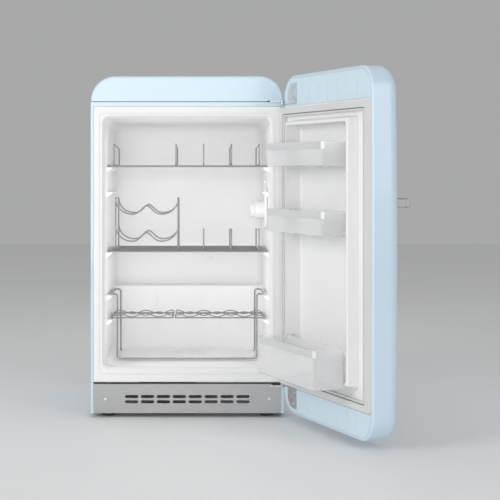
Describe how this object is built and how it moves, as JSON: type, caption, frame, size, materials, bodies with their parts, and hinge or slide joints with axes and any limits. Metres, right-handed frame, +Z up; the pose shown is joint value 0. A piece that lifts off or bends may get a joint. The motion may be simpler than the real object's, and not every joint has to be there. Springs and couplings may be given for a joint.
{
  "type": "refrigerator",
  "caption": "Small free-standing retro refrigerator with rounded top cap, bowed hinged door, wire shelves, bottle racks, basket and clear door balconies.",
  "frame": {"origin": "on the floor at the centre of the cabinet's footprint", "axes": "+X to the hinge side as seen from the front, +Y to the back, +Z up; the shut door faces -Y"},
  "size_m": [0.8338, 1.0549, 0.96],
  "materials": {
    "painted": "gloss",
    "door_paint": "gloss",
    "white_plastic": "satin",
    "blue_plastic": "satin",
    "gasket": "soft",
    "seal": "matte",
    "foam": "matte",
    "aluminium_sheet": "satin",
    "zinc": "satin",
    "black_plastic": "matte",
    "black_paint": "satin",
    "rubber": "matte",
    "copper": "satin",
    "stainless": "brushed",
    "screw_steel": "satin",
    "lens": "frosted",
    "wire": "polished",
    "clear_plastic": "clear",
    "handle_metal": "satin"
  },
  "bodies": {
    "cabinet": {"back_panel": "zinc", "base_frame": "zinc", "bay_panel": "zinc", "bracket_screws": "screw_steel", "cabinet_insulation": "foam", "cap_seal": "seal", "compressor": "black_paint", "compressor_mounts": "rubber", "condenser_brackets": "zinc", "condenser_tube": "black_paint", "condenser_wires": "black_paint", "control_housing": "white_plastic", "discharge_pipe": "copper", "drain_tube": "black_plastic", "drip_tray": "black_plastic", "evaporator": "aluminium_sheet", "front_frame": "white_plastic", "hinge_brackets": "zinc", "hinge_pins": "screw_steel", "inner_liner": "white_plastic", "lamp_lens": "lens", "machine_plate": "zinc", "mains_gland": "black_plastic", "plinth_grille": "stainless", "plinth_screws": "screw_steel", "probe_clip": "white_plastic", "relay_box": "black_plastic", "screw_feet": "black_plastic", "side_panel_left": "painted", "side_panel_right": "painted", "top_cap": "painted", "top_deck": "painted"},
    "door": {"door_skin": "door_paint", "door_end_cap_top": "blue_plastic", "door_end_cap_bottom": "blue_plastic", "door_liner": "white_plastic", "door_insulation": "foam", "door_gasket": "gasket", "door_hinge_plates": "zinc", "door_hinge_screws": "screw_steel", "hinge_bushes": "black_plastic", "handle_base": "stainless", "handle_grip": "handle_metal"},
    "upper_shelf": {"upper_shelf_grid": "wire", "upper_shelf_dividers": "wire"},
    "lower_shelf": {"lower_shelf_grid": "wire", "lower_shelf_dividers": "wire"},
    "wine_rack": {"wine_rack_frames": "wire", "wine_rack_cradles": "wire"},
    "basket": {"basket_frame": "wire", "basket_floor": "clear_plastic"},
    "bottle_rack_left": {"bottle_rack_left": "wire"},
    "bottle_rack_right": {"bottle_rack_right": "wire"},
    "balcony_top": {"balcony_top": "clear_plastic", "balcony_trim_top": "stainless"},
    "balcony_middle": {"balcony_middle": "clear_plastic", "balcony_trim_middle": "stainless"},
    "balcony_bottom": {"balcony_bottom": "clear_plastic", "balcony_trim_bottom": "stainless"},
    "thermostat_knob": {"thermostat_knob": "white_plastic"}
  },
  "joints": [
    {"name": "door_hinge", "type": "hinge", "parent": "cabinet", "child": "door", "pos_m": [0.2665, -0.2805, 0], "axis": [0, 0, 1], "range_deg": [-110.5, 5]},
    {"name": "thermostat_turn", "type": "hinge", "parent": "cabinet", "child": "thermostat_knob", "pos_m": [0.2, -0.1235, 0.58], "axis": [1, 0, 0], "range_deg": [0, 300]},
    {"name": "upper_shelf_slide", "type": "slide", "parent": "cabinet", "child": "upper_shelf", "axis": [0, -1, 0], "range_m": [0, 0.17]},
    {"name": "lower_shelf_slide", "type": "slide", "parent": "cabinet", "child": "lower_shelf", "axis": [0, -1, 0], "range_m": [0, 0.17]},
    {"name": "wine_rack_lift", "type": "slide", "parent": "lower_shelf", "child": "wine_rack", "axis": [0, 0, 1], "range_m": [0, 0.05]},
    {"name": "basket_slide", "type": "slide", "parent": "cabinet", "child": "basket", "axis": [0, -1, 0], "range_m": [0, 0.17]},
    {"name": "rack_left_lift", "type": "slide", "parent": "basket", "child": "bottle_rack_left", "axis": [0, 0, 1], "range_m": [0, 0.045]},
    {"name": "rack_right_lift", "type": "slide", "parent": "basket", "child": "bottle_rack_right", "axis": [0, 0, 1], "range_m": [0, 0.045]},
    {"name": "balcony_top_lift", "type": "slide", "parent": "door", "child": "balcony_top", "axis": [0, 0, 1], "range_m": [0, 0.03]},
    {"name": "balcony_middle_lift", "type": "slide", "parent": "door", "child": "balcony_middle", "axis": [0, 0, 1], "range_m": [0, 0.03]},
    {"name": "balcony_bottom_lift", "type": "slide", "parent": "door", "child": "balcony_bottom", "axis": [0, 0, 1], "range_m": [0, 0.03]}
  ]
}
